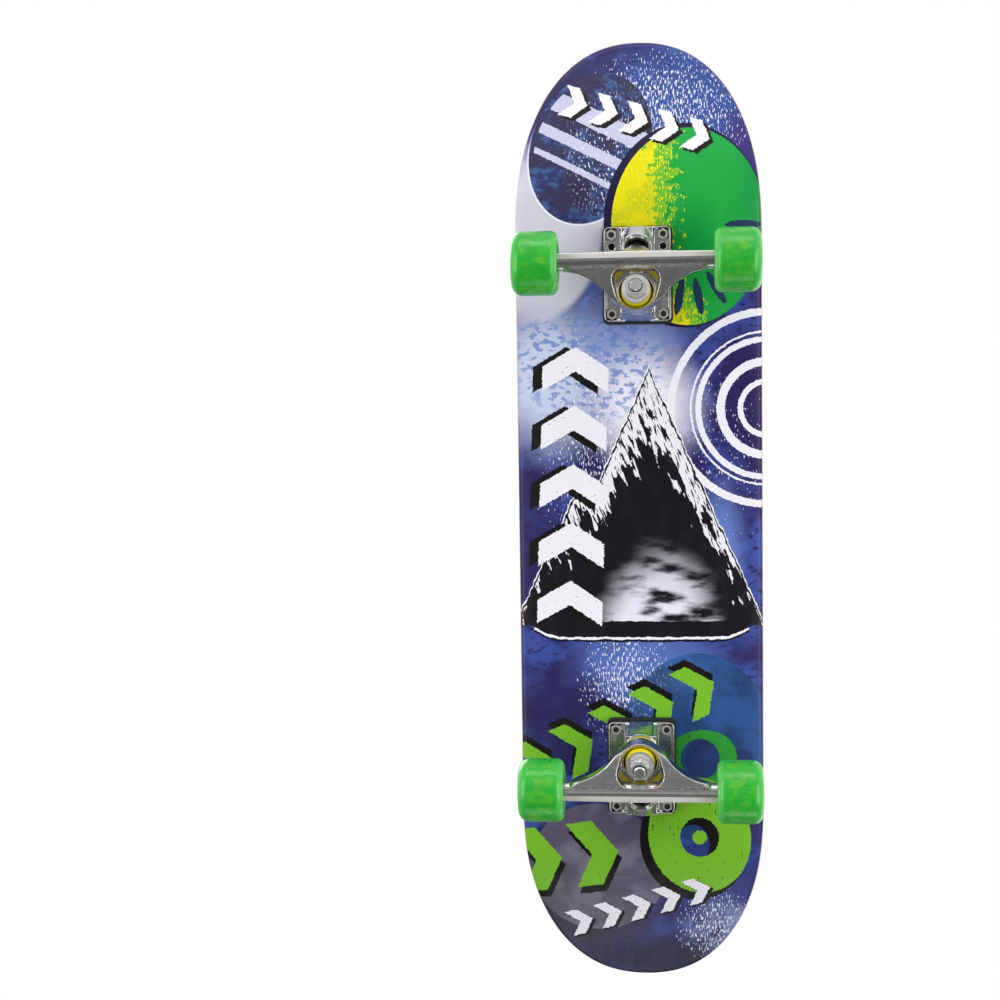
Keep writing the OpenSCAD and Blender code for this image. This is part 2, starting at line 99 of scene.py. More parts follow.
# %% Colour and node helpers
def linear(hex_colour):
    """An sRGB hex colour as four linear numbers."""
    colour = []
    for start in (1, 3, 5):
        c = int(hex_colour[start : start + 2], 16) / 255
        colour.append(c / 12.92 if c < 0.04045 else ((c + 0.055) / 1.055) ** 2.4)
    return colour + [1.0]


def add(tree, kind, *values, out=0, named=None, **settings):
    """Adds a node, makes its settings, and fills its inputs, in their order or
    by name, with sockets or constants. Returns one of the node's outputs."""
    made = tree.nodes.new("ShaderNode" + kind)
    for setting, value in settings.items():
        setattr(made, setting, value)
    fill(tree, made, dict(enumerate(values)))
    fill(tree, made, named or {})
    return made.outputs[out]


def fill(tree, made, inputs):
    for key, value in inputs.items():
        if isinstance(value, bpy.types.NodeSocket):
            tree.links.new(value, made.inputs[key])
        elif value is not None:
            made.inputs[key].default_value = value


# A Mix node has inputs of several types: for colours these are 6 and 7.
COLOURS = {"data_type": "RGBA", "out": 2}


def new_material(name):
    """An empty material: its tree, its shader, and the place in millimetres."""
    material = bpy.data.materials.new(name)
    material.use_nodes = True
    tree = material.node_tree
    place = add(tree, "TexCoord", out="Object")
    place = add(tree, "VectorMath", place, named={"Scale": 1000.0}, operation="SCALE")
    return material, tree, tree.nodes["Principled BSDF"], place


def finish_nodes(names, material):
    """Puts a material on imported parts."""
    for name in names:
        slots = frame["nodes"][name].data.materials
        slots.clear()
        slots.append(material)
    print(material.name, "on", len(names), "parts")


# %% [markdown]
# ## The deck's shape
# A deck is seven maple veneers pressed in a mould: flat in the middle, curved
# up at both sides, and bent up at each end. Its edge is routed round. It could
# be a subdivided cage, but its curve is known exactly, so the mesh is made
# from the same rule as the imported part, with many more points and a rounded
# edge. Stations run along the board, and each has points across both faces
# and round the edge.

# %% Rule of the deck's surface
deck_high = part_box("deck")[1]
grip_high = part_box("grip_tape")[1]
grip_z = frame["record"]["mounts"][0]["pos_m"][2]
grip_thick = grip_high.z - deck_high.z
deck_thick = grip_z - grip_thick - under_z
half_length, half_width = deck_high.x, deck_high.y

kick_start = 244.75 * MM
kick_radius = 150 * MM
kick_angle = math.radians(21)
kick_run = kick_radius * math.sin(kick_angle)
kick_lift = kick_radius * (1 - math.cos(kick_angle))
flat_half_width = 30 * MM
concave_lift = 7 * MM
end_length = 165 * MM
end_power = 2.45
side_power = 2.2


def deck_rise(x, y):
    """How far the deck's surface stands above its flat middle."""
    run = abs(x) - kick_start
    if run <= 0:
        kick = 0.0
    elif run < kick_run:
        kick = kick_radius - math.sqrt(kick_radius**2 - run**2)
    else:
        kick = kick_lift + (run - kick_run) * math.tan(kick_angle)
    out = max(0.0, (abs(y) - flat_half_width) / (half_width - flat_half_width))
    return kick + concave_lift * out**2


def outline_stations(end_steps=40, straight_step=9 * MM):
    """Points of the outline from tail tip to nose tip, on the side of +Y,
    each with the direction that points straight out of the edge."""
    straight = half_length - end_length
    end = []
    for i in range(end_steps, 0, -1):
        angle = math.pi / 2 * i / end_steps
        into = math.sin(angle) ** (2 / end_power)
        wide = max(0.0, math.cos(angle)) ** (2 / side_power) if i < end_steps else 0.0
        out_x = end_power * into ** (end_power - 1) / end_length
        out_y = side_power * wide ** (side_power - 1) / half_width
        out = Vector((out_x, out_y)).normalized()
        end.append((Vector((straight + end_length * into, half_width * wide)), out))
    steps = round(2 * straight / straight_step)
    middle = [
        (Vector((straight * (2 * i / steps - 1), half_width)), Vector((0, 1)))
        for i in range(steps + 1)
    ]
    tail = [(Vector((-p.x, p.y)), Vector((-n.x, n.y))) for p, n in end]
    return tail + middle + end[::-1]


print("deck", round(deck_thick / MM, 2), "mm thick,", len(outline_stations()), "stations")


# %% [markdown]
# ## A sheet that follows the deck
# The veneers and the grip tape are both sheets on that surface, so one
# function makes both. Its profile lists how far in from the outline and how
# high each ring of the edge lies, from the lower face to the upper one.

# %% Build the deck and the grip tape
def deck_sheet(name, profile, film_rings=0, columns=24):
    """A closed sheet. Each point keeps its share of the edge's height. The
    lower face, and so many rings of the edge, take the first material."""
    mesh = bmesh.new()
    share = mesh.verts.layers.float.new("ply_share")
    low, high = profile[0][1], profile[-1][1]

    def point(x, y, height):
        vert = mesh.verts.new((x, y, under_z + height + deck_rise(x, y)))
        vert[share] = (height - low) / (high - low)
        return vert

    grid = []
    for outline, out in outline_stations():
        ring = [(outline - out * inset, height) for inset, height in profile]
        row = []
        first, last = ring[0][0], ring[-1][0]
        for j in range(columns + 1):
            row.append(point(first.x, first.y * (2 * j / columns - 1), low))
        for place, height in ring[1:-1]:
            row.append(point(place.x, place.y, height))
        for j in range(columns, -1, -1):
            row.append(point(last.x, last.y * (2 * j / columns - 1), high))
        for place, height in ring[-2:0:-1]:
            row.append(point(place.x, -place.y, height))
        grid.append(row)
    for row, following in zip(grid, grid[1:]):
        for k in range(len(row)):
            following_k = (k + 1) % len(row)
            corners = (row[k], following[k], following[following_k], row[following_k])
            face = mesh.faces.new(corners)
            film = k < columns + film_rings or k >= len(row) - film_rings
            face.material_index = 0 if film else 1
    bmesh.ops.remove_doubles(mesh, verts=mesh.verts, dist=1e-7)
    bmesh.ops.recalc_face_normals(mesh, faces=mesh.faces)
    for face in mesh.faces:
        face.smooth = True
    data = bpy.data.meshes.new(name)
    mesh.to_mesh(data)
    mesh.free()
    piece = bpy.data.objects.new(name, data)
    bpy.context.scene.collection.objects.link(piece)
    return piece


def rounded_edge(radius_low, radius_high, low, high, inset=0.0, steps=6):
    """Profile of an edge with a large round below and a small one above."""
    below, above = [], []
    for i in range(steps + 1):
        angle = math.pi / 2 * i / steps
        sine, cosine = 1 - math.sin(angle), 1 - math.cos(angle)
        below.append((inset + radius_low * sine, low + radius_low * cosine))
        above.append((inset + radius_high * cosine, high - radius_high * sine))
    return below + above


deck_profile = rounded_edge(4 * MM, 1.5 * MM, 0, deck_thick)
deck = deck_sheet("deck_veneers", deck_profile, film_rings=4)
grip_profile = rounded_edge(
    0.05 * MM, 0.4 * MM, deck_thick, deck_thick + grip_thick, inset=1.3 * MM, steps=3
)
grip = deck_sheet("grip_tape_sheet", grip_profile)
print("deck faces:", len(deck.data.polygons), "grip faces:", len(grip.data.polygons))

# %% [markdown]
# ## Holes in the grip tape
# The mounting screws come up through the tape, and their heads sit level with
# it. The tape is pierced with a Boolean modifier, one short cylinder for each
# head. The modifier is then applied, so that the mesh itself has the holes.

# %% Pierce the grip tape for the screw heads
plate_middle_x = 201
hole_half_length, hole_half_width = 31.75, 20.65
head_radius = 5.15
screw_places = [
    Vector((sign * (plate_middle_x + x * hole_half_length), y * hole_half_width, 0)) * MM
    for sign in (-1, 1)
    for x in (-1, 1)
    for y in (-1, 1)
]


def joined_cylinders(places, radius, low, high, sides=40):
    mesh = bmesh.new()
    for place in places:
        bmesh.ops.create_cone(
            mesh,
            cap_ends=True,
            segments=sides,
            radius1=radius,
            radius2=radius,
            depth=high - low,
            matrix=Matrix.Translation(place + Vector((0, 0, (low + high) / 2))),
        )
    data = bpy.data.meshes.new("cutter")
    mesh.to_mesh(data)
    mesh.free()
    return bpy.data.objects.new("cutter", data)


def apply_modifiers(piece):
    """Replaces a piece's mesh by the one that its modifiers make."""
    bpy.context.view_layer.update()
    graph = bpy.context.evaluated_depsgraph_get()
    made = bpy.data.meshes.new_from_object(piece.evaluated_get(graph))
    piece.modifiers.clear()
    piece.data = made


def cut(piece, cutter):
    bpy.context.scene.collection.objects.link(cutter)
    tool = piece.modifiers.new("cut", "BOOLEAN")
    tool.operation = "DIFFERENCE"
    tool.solver = "EXACT"
    tool.object = cutter
    apply_modifiers(piece)
    bpy.data.objects.remove(cutter)


heads = joined_cylinders(screw_places, head_radius * MM, grip_z - 2 * MM, grip_z + 2 * MM)
cut(grip, heads)
print("pierced grip tape:", len(grip.data.polygons), "faces")

# %% [markdown]
# ## The printed film
# The underside carries a printed film: a blue and indigo ground, pale flecks
# as if the ink had been scratched away, a yellow and green sun, black peaks
# against a glow, and rows of rough brush strokes. An image texture would be
# the quick way. Here the picture is built from masks, so that it stays sharp
# at any distance: each mask is a shape in millimetres, across the board in u
# and along it in v, and each layer is mixed over the ones below it.

# %% Tools of the print
print_film, film, film_shader, place_mm = new_material("printed_film_heat_transferred_gloss")
along, across = add(film, "SeparateXYZ", place_mm).node.outputs[:2]
flat_place = add(film, "CombineXYZ", across, along)


def shaken(place, amount, grain, stretch=(1, 1)):
    """The place, moved about by noise, so that an edge comes out rough.
    The grain is the size of the roughness in millimetres."""
    fine = add(film, "Mapping", place, named={"Scale": (1 / stretch[0], 1 / stretch[1], 1)})
    settings = {"Vector": fine, "Scale": 1 / grain, "Detail": 3.0}
    noise = add(film, "TexNoise", named=settings, out="Color")
    centred = add(film, "VectorMath", noise, (0.5, 0.5, 0.5), operation="SUBTRACT")
    reach = (amount * 2, amount * 2, 0)
    return add(film, "VectorMath", centred, reach, place, operation="MULTIPLY_ADD")


def seen_from(place, middle, turn=0, size=(1, 1)):
    """The place as a shape sees it, from its own middle, turn and size."""
    frame_of_shape = {
        "Vector": place,
        "Location": (*middle, 0),
        "Rotation": (0, 0, math.radians(turn)),
        "Scale": (*size, 1),
    }
    return add(film, "Mapping", named=frame_of_shape, vector_type="TEXTURE")


def from_middle(place, middle, size, turn=0):
    """Distance from the middle of an oval, where 1 is its rim."""
    seen = seen_from(place, middle, turn, size)
    return add(film, "VectorMath", seen, operation="LENGTH", out="Value")


def inside(value, limit):
    """The mask of a shape: 1 where the value is under its limit, else 0."""
    return add(film, "Math", value, limit, operation="LESS_THAN")


def all_of(*masks):
    """The masks laid over each other: 1 only where every one is 1."""
    over = masks[0]
    for mask in masks[1:]:
        over = add(film, "Math", over, mask, operation="MULTIPLY")
    return over


def fade(value, full, none):
    """A mask that goes smoothly from 1 at one value to 0 at another."""
    ends = {"Value": value, "From Min": none, "From Max": full}
    return add(film, "MapRange", named=ends, interpolation_type="SMOOTHSTEP")


def noise_over(place, grain, stretch=(1, 1), detail=4.0):
    """Soft noise with grains of so many millimetres, drawn out by the stretch."""
    fine = add(film, "Mapping", place, named={"Scale": (1 / stretch[0], 1 / stretch[1], 1)})
    return add(film, "TexNoise", named={"Vector": fine, "Scale": 1 / grain, "Detail": detail})


def paint(below, colour, mask):
    """Lays a colour over the picture so far, where the mask is 1."""
    over = colour if isinstance(colour, bpy.types.NodeSocket) else linear(colour)
    return add(film, "Mix", mask, named={6: below, 7: over}, **COLOURS)


def brush_row(place, middle, turn, count, pitch, height, width, lean):
    """A row of leaning brush strokes, each bent to an arrowhead."""
    s, t = add(film, "SeparateXYZ", seen_from(place, middle, turn)).node.outputs[:2]
    side = add(film, "Math", t, operation="ABSOLUTE")
    slid = add(film, "Math", side, lean, s, operation="MULTIPLY_ADD")
    start = add(film, "Math", slid, count * pitch / 2)
    phase = add(film, "Math", start, pitch, operation="FLOORED_MODULO")
    reach = add(film, "Math", slid, operation="ABSOLUTE")
    row = all_of(inside(phase, width), inside(side, height / 2))
    return all_of(row, inside(reach, count * pitch / 2))


print("film nodes so far:", len(film.nodes))

# %% [markdown]
# ## The ground of the print
# Large soft areas come first. Indigo lies along both edges, mid blue between,
# and pale lavender glows in the middle, all of it broken up by noise at two
# scales, one of about 30 mm for clouds and one of 5 mm for mottling.

# %% Ground of the print
rough = shaken(flat_place, 1.1, 2.2)
torn = shaken(flat_place, 5, 9)
cloud = noise_over(flat_place, 34)
mottle = noise_over(flat_place, 5, (1.6, 1))

picture = paint(linear("#2b2560"), "#3c4f9e", fade(cloud, 0.62, 0.40))
picture = paint(picture, "#251f54", fade(mottle, 0.68, 0.52))
soft_areas = (
    # middle, half size, colour, strength
    ((38, 330), (90, 90), "#35549c", 0.9),
    ((95, 300), (40, 60), "#3a2b74", 0.9),
    ((-64, 352), (62, 52), "#292b52", 0.95),
    ((-75, 120), (60, 85), "#c6cfe8", 1.0),
    ((-10, 150), (60, 60), "#8f9fd4", 0.9),
    ((4, 95), (62, 62), "#eceaf8", 1.0),
    ((90, 95), (48, 90), "#271c56", 0.9),
    ((-95, -10), (50, 110), "#2c2358", 0.8),
    ((12, -48), (62, 58), "#f3f2fb", 1.0),
    ((66, -20), (26, 70), "#6d86cf", 0.8),
    ((5, -118), (85, 48), "#5973bb", 0.9),
    ((-70, -160), (60, 60), "#2a2253", 0.9),
    ((-50, -330), (95, 90), "#3b3549", 1.0),
    ((62, -300), (60, 70), "#2e3c80", 0.9),
    ((20, -380), (90, 35), "#282536", 0.9),
)
for middle, size, colour, strength in soft_areas:
    near = fade(from_middle(torn, middle, size), 0.25, 1.0)
    picture = paint(picture, colour, all_of(near, strength))

worn = all_of(fade(from_middle(torn, (-40, 140), (85, 75)), 0.5, 1.0), fade(mottle, 0.58, 0.50))
picture = paint(picture, "#6a86c8", all_of(worn, 0.85))

# Pale flecks, drawn out along the board, as if the ink were scratched away
flecks = noise_over(flat_place, 1.25, (0.9, 3.4), 2.0)
fleck_areas = (
    ((20, 335), (85, 60), 0.60),
    ((-30, 60), (70, 120), 0.64),
    ((-12, -135), (45, 62), 0.60),
    ((62, -345), (42, 44), 0.60),
    ((70, 60), (60, 90), 0.69),
)
for middle, size, level in fleck_areas:
    near = fade(from_middle(torn, middle, size), 0.2, 1.0)
    lifted = add(film, "Math", near, 0.10, flecks, operation="MULTIPLY_ADD")
    fleck = add(film, "Math", lifted, level + 0.06, operation="GREATER_THAN")
    picture = paint(picture, "#e6e9f7", all_of(fleck, inside(0.05, near)))
print("film nodes so far:", len(film.nodes))

# %% [markdown]
# ## The large shapes of the print
# A dark striped planet stands on a pale panel at the left of the nose. A sun,
# yellow on one side and green on the other with a torn line between, lies
# under the front truck. Black peaks with snow stand before the glow, and pale
# ripples run in from the right edge. They are plain figures made for this
# board: a distance from a middle, compared with a limit.

# %% Planet, sun and ripples
panel = all_of(
    fade(from_middle(rough, (-92, 245), (72, 92)), 0.86, 0.94),
    fade(from_middle(torn, (-70, 235), (78, 88)), 0.6, 1.0),
)
picture = paint(picture, "#cfcddc", panel)
planet_middle = (-38, 306)
planet = from_middle(flat_place, planet_middle, (50, 66), -18)
planet_disc = inside(planet, 0.975)
picture = paint(picture, "#e9e9f4", all_of(inside(planet, 1.0), fade(along, 285, 330)))
picture = paint(picture, "#2f3160", planet_disc)
picture = paint(picture, "#3c5a8f", all_of(planet_disc, fade(mottle, 0.62, 0.44)))
picture = paint(picture, "#34304f", all_of(planet_disc, fade(cloud, 0.56, 0.44)))
band_along = add(film, "SeparateXYZ", seen_from(rough, planet_middle, -28), out=1)
for band_middle, half in ((22, 8), (-3, 4.5), (-22, 2.5)):
    band = add(film, "Math", band_along, band_middle, half, operation="COMPARE")
    picture = paint(picture, "#c4c6de", all_of(band, inside(planet, 0.9)))
scratches = fade(noise_over(flat_place, 1.6, (1, 2.4), 2.0), 0.63, 0.60)
scratched_side = fade(from_middle(torn, (-20, 300), (48, 70)), 0.3, 1.0)
picture = paint(picture, "#dfe4f4", all_of(planet_disc, scratches, scratched_side))

sun_middle, sun_size = (41, 240), (62, 80)
sun_shadow = from_middle(flat_place, (sun_middle[0] - 3, sun_middle[1] + 1), (65, 83))
picture = paint(picture, "#1d1a3e", inside(sun_shadow, 1.0))
sun = inside(from_middle(flat_place, sun_middle, sun_size), 1.0)
picture = paint(picture, "#1aa341", sun)
sun_heart = fade(from_middle(torn, (44, 222), (34, 44)), 0.2, 1.0)
picture = paint(picture, "#07953a", all_of(sun, sun_heart))
torn_across = add(film, "SeparateXYZ", torn).node.outputs[0]
blotch = noise_over(flat_place, 7)
lit_edge = add(film, "Math", blotch, 60.0, torn_across, operation="MULTIPLY_ADD")
# Low down, the yellow runs further in
low_down = add(film, "MapRange", along, 150.0, 205.0, 34.0, 0.0)
lit_edge = add(film, "Math", lit_edge, low_down, operation="SUBTRACT")
deep_green = all_of(sun, fade(torn_across, 112, 66))
picture = paint(picture, "#0b8a45", all_of(deep_green, 0.8))
picture = paint(picture, "#6cba33", all_of(sun, inside(lit_edge, 58)))
picture = paint(picture, "#e6dc0d", all_of(sun, inside(lit_edge, 44)))
picture = paint(picture, "#cfd016", all_of(sun, inside(lit_edge, 44), fade(cloud, 0.55, 0.5)))
yellow_flecks = all_of(sun, inside(lit_edge, 62), fade(flecks, 0.60, 0.58))
picture = paint(picture, "#f2e80f", yellow_flecks)

ray_ring = (44, 58)
for angle in range(200, 380, 20):
    turned_by = math.radians(angle)
    ray_middle = (
        sun_middle[0] + ray_ring[0] * math.cos(turned_by),
        sun_middle[1] + ray_ring[1] * math.sin(turned_by),
    )
    ray = inside(from_middle(rough, ray_middle, (15, 3.4), angle), 1.0)
    picture = paint(picture, "#1f3556", all_of(sun, ray))
print("film nodes so far:", len(film.nodes))

# %% Ripples, peaks and bar
ripple = from_middle(rough, (104, 92), (1, 1))
for radius, half in ((22, 2.2), (38, 3.4), (56, 2.4), (62, 0.8), (78, 3.0)):
    line = add(film, "Math", ripple, radius, half, operation="COMPARE")
    picture = paint(picture, "#f0eff8", line)

u, v = add(film, "SeparateXYZ", shaken(flat_place, 1.6, 5)).node.outputs[:2]
PEAKS = ((8, 118, 2.25), (-44, 34, 2.1), (48, 14, 2.3))  # across, along, slope
snow_white = "#f4f3fa"
peak_black = "#15121a"
ridge_line = -400.0
for peak_u, peak_v, slope in PEAKS:
    aside = add(film, "Math", u, peak_u, operation="SUBTRACT")
    aside = add(film, "Math", aside, operation="ABSOLUTE")
    flank = add(film, "Math", aside, -slope, peak_v, operation="MULTIPLY_ADD")
    ridge_line = add(film, "Math", ridge_line, flank, operation="MAXIMUM")
jag = noise_over(add(film, "CombineXYZ", u), 6, detail=3.0)
ridge_line = add(film, "Math", jag, 14.0, ridge_line, operation="MULTIPLY_ADD")
below_ridge = add(film, "Math", ridge_line, v, operation="SUBTRACT")
above_bar = add(film, "Math", v, -86.0, operation="GREATER_THAN")
peaks = all_of(above_bar, add(film, "Math", below_ridge, 0.0, operation="GREATER_THAN"))
rim = all_of(above_bar, add(film, "Math", below_ridge, -2.2, operation="GREATER_THAN"))
picture = paint(picture, snow_white, all_of(rim, inside(below_ridge, 0.5)))
picture = paint(picture, peak_black, peaks)

# Snow lies in torn streaks that run downhill, deeper towards the summit
streak_place = seen_from(flat_place, (0, 0), 20)
streaks = noise_over(streak_place, 7, (0.8, 3.4), 3.0)
snow_line = add(film, "Math", v, 0.42, -92.0, operation="MULTIPLY_ADD")
snow_depth = add(film, "Math", streaks, 225.0, snow_line, operation="MULTIPLY_ADD")
under_rim = add(film, "Math", below_ridge, 3.0, operation="GREATER_THAN")
snow = all_of(peaks, under_rim, inside(below_ridge, snow_depth))
picture = paint(picture, "#eeedf6", snow)
dark_cracks = fade(noise_over(streak_place, 3, (0.6, 4), 2.0), 0.60, 0.57)
picture = paint(picture, peak_black, all_of(snow, dark_cracks))

# Mist glows at the foot of the peaks, torn by the same brush
mist_edge = from_middle(shaken(flat_place, 14, 26, (2.2, 1)), (14, -98), (62, 88))
mist = fade(mist_edge, 0.45, 1.0)
mist = all_of(mist, fade(noise_over(flat_place, 12, (3.0, 1)), 0.56, 0.36))
picture = paint(picture, "#e9e8f6", all_of(above_bar, mist))

# The bar under them is straight in the middle and turns up at both ends
across_size = add(film, "Math", u, operation="ABSOLUTE")
past_bend = add(film, "Math", across_size, 62.0, operation="SUBTRACT")
past_bend = add(film, "Math", past_bend, 0.0, operation="MAXIMUM")
bend = add(film, "Math", past_bend, 2.0, operation="POWER")
bar_middle = add(film, "Math", bend, 0.011, -90.0, operation="MULTIPLY_ADD")
off_bar = add(film, "Math", v, bar_middle, operation="SUBTRACT")
bar_reach = inside(across_size, 88.0)
bar = add(film, "Math", off_bar, 0.0, 8.5, operation="COMPARE")
picture = paint(picture, peak_black, all_of(bar_reach, bar))
bar_line = add(film, "Math", off_bar, -5.6, 1.0, operation="COMPARE")
picture = paint(picture, snow_white, all_of(bar_reach, bar_line))
print("film nodes so far:", len(film.nodes))

# %% [markdown]
# ## Discs and brush strokes
# Near the tail lie a teal disc, a grey disc and a lime target ring. Over
# everything come five rows of arrow-shaped brush strokes, white or lime, each
# with a black shadow. Their edges are shaken by noise, and short dark dashes
# are scratched into them, as if they were cut in lino.

# %% Discs near the tail
teal = from_middle(flat_place, (46, -186), (62, 78))
teal_ink = paint(linear("#2c5c9c"), "#173d62", fade(cloud, 0.6, 0.4))
picture = paint(picture, teal_ink, all_of(inside(teal, 1.0), 0.75))
for middle, size in (((52, -196), (16, 22)), ((82, -206), (12, 18))):
    dark_disc = inside(from_middle(rough, middle, size), 1.0)
    picture = paint(picture, "#2b2a5e", all_of(dark_disc, 0.6))
grey = from_middle(flat_place, (-38, -292), (57, 58))
grey_ink = paint(linear("#5d5768"), "#7b7686", fade(cloud, 0.62, 0.42))
picture = paint(picture, grey_ink, all_of(inside(grey, 1.0), 0.85))
haze = all_of(fade(from_middle(torn, (66, -345), (44, 40)), 0.1, 1.0), fade(cloud, 0.62, 0.36))
picture = paint(picture, "#a4afd6", all_of(haze, 0.65))

shadow_black = "#14110f"
ring_shadow = from_middle(rough, (42, -267), (44, 53), 10)
shadow_hole = add(film, "Math", ring_shadow, 0.30, operation="GREATER_THAN")
picture = paint(picture, shadow_black, all_of(inside(ring_shadow, 1.0), shadow_hole))
target_middle = (47, -262)
RINGS = (((48, -196), (30, 24), "#2e9433"), (target_middle, (42, 51), "#77ba2b"))
for middle, size, colour in RINGS:
    rim = inside(from_middle(rough, middle, size, 10), 1.0)
    hole = from_middle(rough, middle, (16, 17), 10)
    outside_hole = add(film, "Math", hole, 1.0, operation="GREATER_THAN")
    picture = paint(picture, colour, all_of(rim, outside_hole))
hub = inside(from_middle(rough, target_middle, (6, 6)), 1.0)
picture = paint(picture, "#77ba2b", hub)
dashes = noise_over(flat_place, 2.0, (0.9, 3.2), 2.0)
cut_marks = fade(dashes, 0.70, 0.67)
near_ring = inside(from_middle(flat_place, (47, -240), (44, 72)), 1.0)
picture = paint(picture, shadow_black, all_of(near_ring, cut_marks))

# %% Rows of brush strokes
brush = shaken(flat_place, 1.3, 2.6)
brush = shaken(brush, 0.7, 0.9)
dash_across = fade(noise_over(flat_place, 1.6, (3.4, 0.8), 2.0), 0.72, 0.69)
slanted = seen_from(flat_place, (0, 0), 18)
dash_slant = fade(noise_over(slanted, 1.6, (0.8, 3.2), 2.0), 0.72, 0.69)
ROWS = (
    # middle, turn, count, pitch, height, width, lean, colour, shadow's shift, dashes
    ((11, 325), -17, 5, 26, 26, 11, 0.8, "#f1f0f7", (1.8, -2.8), dash_slant),
    ((-54, 52), 88, 5, 48, 54, 20, 0.62, "#efeef6", (-8, -1.5), dash_across),
    ((-4, -163), 26, 5, 37, 44, 15, 0.7, "#76b92c", (-1.5, 5.5), dash_slant),
    ((-42, -278), 9, 2, 48, 58, 22, 0.62, "#76b92c", (1.5, -6.5), dash_slant),
    ((8, -323), 18, 5, 26, 24, 11, 0.9, "#eceaf2", (1.6, -1.6), dash_slant),
)
for middle, turn_of_row, count, pitch, height, width, lean, colour, shift, dash in ROWS:
    shadow_middle = (middle[0] + shift[0], middle[1] + shift[1])
    row = (turn_of_row, count, pitch, height)
    shadow = brush_row(brush, shadow_middle, *row, width + 1.5, lean)
    picture = paint(picture, shadow_black, shadow)
    strokes = brush_row(brush, middle, *row, width, lean)
    picture = paint(picture, colour, strokes)
    picture = paint(picture, shadow_black, all_of(strokes, dash, 0.75))
print("film nodes so far:", len(film.nodes))

# %% [markdown]
# ## Gloss of the film
# The film is pressed on hot and sealed by a clear lacquer, so it is a smooth
# plastic over a slightly wavy board. A coat gives the sharp reflection, and a
# fine bump gives the ripple that the veneers leave. Scuffs make it duller in
# small patches, where rails and kerbs touch it.

# %% Finish of the film
scuffs = fade(noise_over(flat_place, 12, (1, 3)), 0.62, 0.50)
film_rough = add(film, "MapRange", named={"Value": scuffs, "To Min": 0.30, "To Max": 0.46})
waves = noise_over(flat_place, 26, (0.6, 3), 2.0)
film_bump = add(
    film, "Bump", named={"Height": waves, "Strength": 0.12, "Distance": 0.6 * MM}
)
fill(film, film_shader, {
    "Base Color": picture,
    "Roughness": film_rough,
    "Normal": film_bump,
    "Specular IOR Level": 0.2,
    "Coat Weight": 0.1,
    "Coat Roughness": 0.1,
    "IOR": 1.5,
})
deck.data.materials.append(print_film)

# %% [markdown]
# ## Maple edge
# The edge shows the seven veneers end on: thin lines, alternately paler and
# darker as the grain runs along or across. The mesh kept each point's share
# of the edge's height, so the lines follow the bend of the board. The wood is
# sanded and clear lacquered, satin rather than glossy.

# %% Maple veneers
PLIES = 7.0
maple, wood, wood_shader, wood_place = new_material("maple_veneer_sanded_lacquered")
share = add(wood, "Attribute", attribute_name="ply_share", out="Fac")
grain_place = add(wood, "Mapping", wood_place, named={"Scale": (0.04, 0.5, 1.6)})
grain = add(wood, "TexNoise", named={"Vector": grain_place, "Scale": 1.0, "Detail": 6.0})
ply = add(wood, "Math", share, PLIES / 2, operation="MULTIPLY")
ply = add(wood, "Math", ply, operation="FRACT")
cross_ply = add(wood, "Math", ply, 0.5, operation="GREATER_THAN")
woods = {6: linear("#e3c493"), 7: linear("#b98a52")}
veneer = add(wood, "Mix", cross_ply, named=woods, **COLOURS)
veneer = add(wood, "Mix", grain, named={6: veneer, 7: linear("#d3ab72")}, **COLOURS)
glue = add(wood, "Math", share, PLIES, operation="MULTIPLY")
glue = add(wood, "Math", glue, operation="FRACT")
glue = add(wood, "Math", glue, 0.10, operation="LESS_THAN")
glue = add(wood, "Math", glue, 0.55, operation="MULTIPLY")
veneer = add(wood, "Mix", glue, named={6: veneer, 7: linear("#7a5530")}, **COLOURS)
wood_bump = add(wood, "Bump", named={"Height": grain, "Strength": 0.25, "Distance": 0.4 * MM})
fill(wood, wood_shader, {"Base Color": veneer, "Roughness": 0.42, "Normal": wood_bump})
deck.data.materials.append(maple)
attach(deck, "deck")
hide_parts("deck")

# %% [markdown]
# ## Grip tape
# Grip tape is paper coated with black silicon carbide grit, about 0.2 mm
# across. Grains that fine don't show from a distance, so they are drawn
# 0.9 mm apart: cells of slightly different grey, each with its own height.
# A few grains are glossier, and the same grains are painted a lighter grey, a
# painted glint; together they give the tape its faint sparkle.

# %% Grip tape with grit
grip_tape, tape, tape_shader, tape_place = new_material("silicon_carbide_grip_tape_coated")
grit = add(tape, "TexVoronoi", named={"Vector": tape_place, "Scale": 1.1}, out="Color")
grit_value = add(tape, "SeparateColor", grit)
soft = add(tape, "TexNoise", named={"Vector": tape_place, "Scale": 0.02, "Detail": 3.0})
# painted glint: the brightest grains are painted a lighter grey
painted_glint_grains = add(tape, "Math", grit_value, 0.93, operation="GREATER_THAN")
greys = {6: linear("#1d1f22"), 7: linear("#393b40")}
grey = add(tape, "Mix", grit_value, named=greys, **COLOURS)
grey = add(tape, "Mix", painted_glint_grains, named={6: grey, 7: linear("#777b82")}, **COLOURS)
dust = add(tape, "MapRange", soft, 0.4, 0.7, 0.0, 0.12)
grey = add(tape, "Mix", dust, named={6: grey, 7: linear("#5a5d61")}, **COLOURS)
fine_grit = add(tape, "TexNoise", named={"Vector": tape_place, "Scale": 2.4, "Detail": 2.0})
height = add(tape, "Math", grit_value, fine_grit)
grit_bump = add(tape, "Bump", named={"Height": height, "Strength": 0.7, "Distance": 0.4 * MM})
sparkle = add(tape, "MapRange", grit_value, 0.0, 1.0, 0.92, 0.55)
fill(tape, tape_shader, {"Base Color": grey, "Roughness": sparkle, "Normal": grit_bump})
grip.data.materials.clear()
grip.data.materials.append(grip_tape)
for face in grip.data.polygons:
    face.material_index = 0
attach(grip, "deck")
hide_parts("grip_tape")

